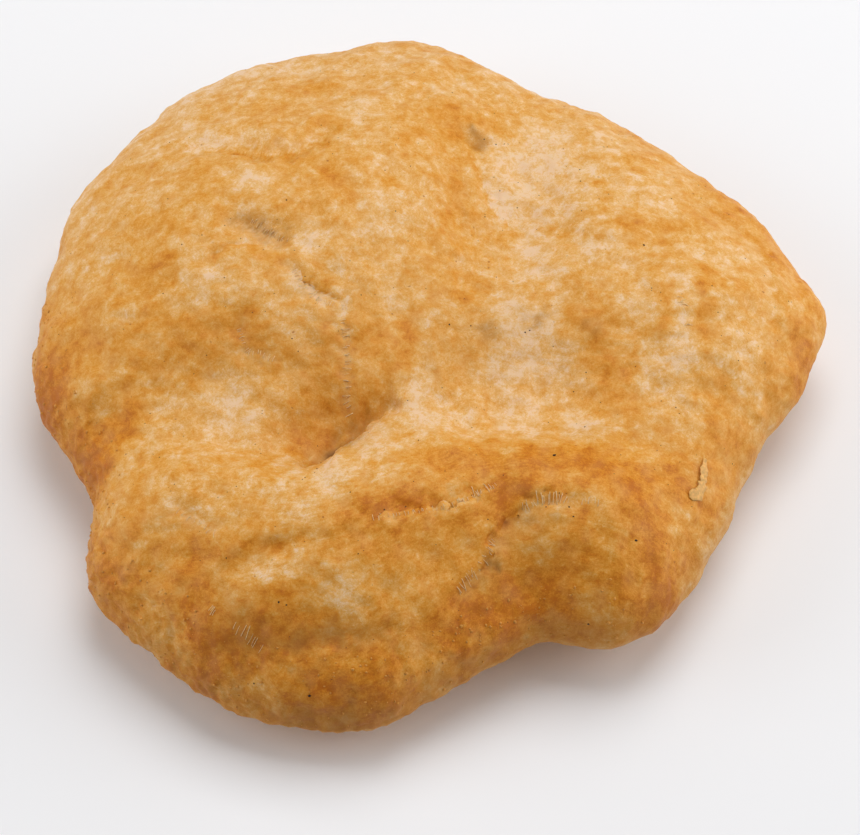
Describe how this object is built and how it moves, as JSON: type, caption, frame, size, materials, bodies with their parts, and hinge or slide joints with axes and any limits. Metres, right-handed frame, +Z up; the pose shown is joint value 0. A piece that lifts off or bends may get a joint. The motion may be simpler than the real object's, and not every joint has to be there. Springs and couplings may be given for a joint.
{
  "type": "fat cake",
  "caption": "Free-form piece of fried dough: a flattened golden bread with soft domes, a folded front roll, a torn crease and an uneven rim, lifted at its edges.",
  "frame": {"origin": "under the middle of the box, on the surface that the piece rests on", "axes": "+Z up, +X towards the pointed nose on the right, +Y away from the front notch, towards the back peak"},
  "size_m": [0.1194, 0.1212, 0.0315],
  "materials": {
    "fried_crust": "satin"
  },
  "bodies": {
    "root": {"fat_cake": "fried_crust"}
  },
  "joints": []
}
